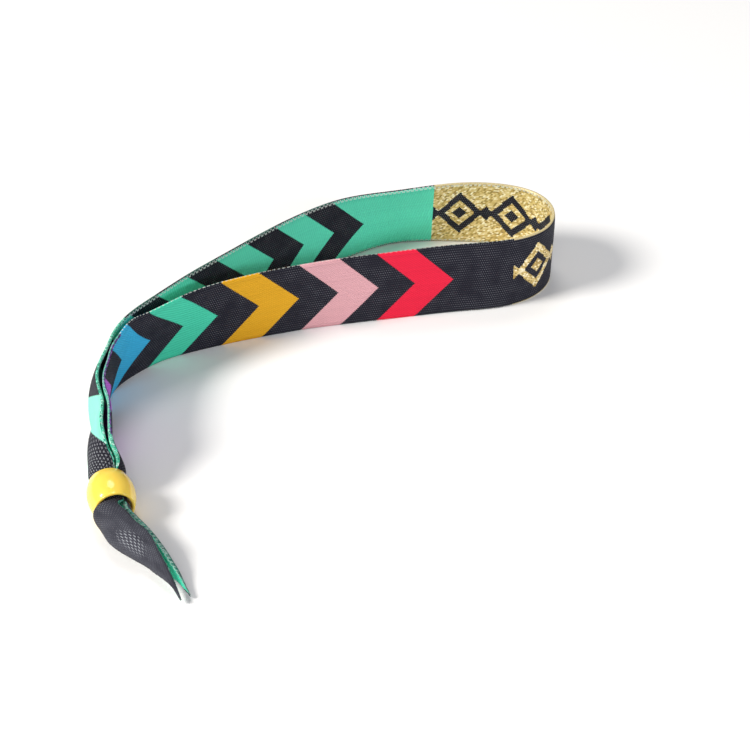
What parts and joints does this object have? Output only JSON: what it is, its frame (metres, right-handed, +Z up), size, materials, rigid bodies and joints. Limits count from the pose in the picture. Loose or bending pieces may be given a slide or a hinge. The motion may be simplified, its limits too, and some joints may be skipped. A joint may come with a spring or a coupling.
{
  "type": "woven wristband",
  "caption": "Long woven ribbon wristband standing on its edge in a loop, with both ends drawn through a round sliding bead and left as short twisted tails.",
  "frame": {"origin": "on the surface it stands on, under the centre of the whole wristband's bounding box", "axes": "+X along the loop, from the neck to the far rounded end; +Y from the front strand to the back strand, away from the tails; +Z up, from the ribbon's lower edge to its upper edge"},
  "size_m": [0.0867, 0.111, 0.0154],
  "materials": {
    "woven_polyester": "jacquard woven, turquoise green ground with black, gold and coloured motifs",
    "bead_plastic": "smooth glossy yellow"
  },
  "bodies": {
    "root": {"woven_band": "woven_polyester", "bead": "bead_plastic"}
  },
  "joints": []
}
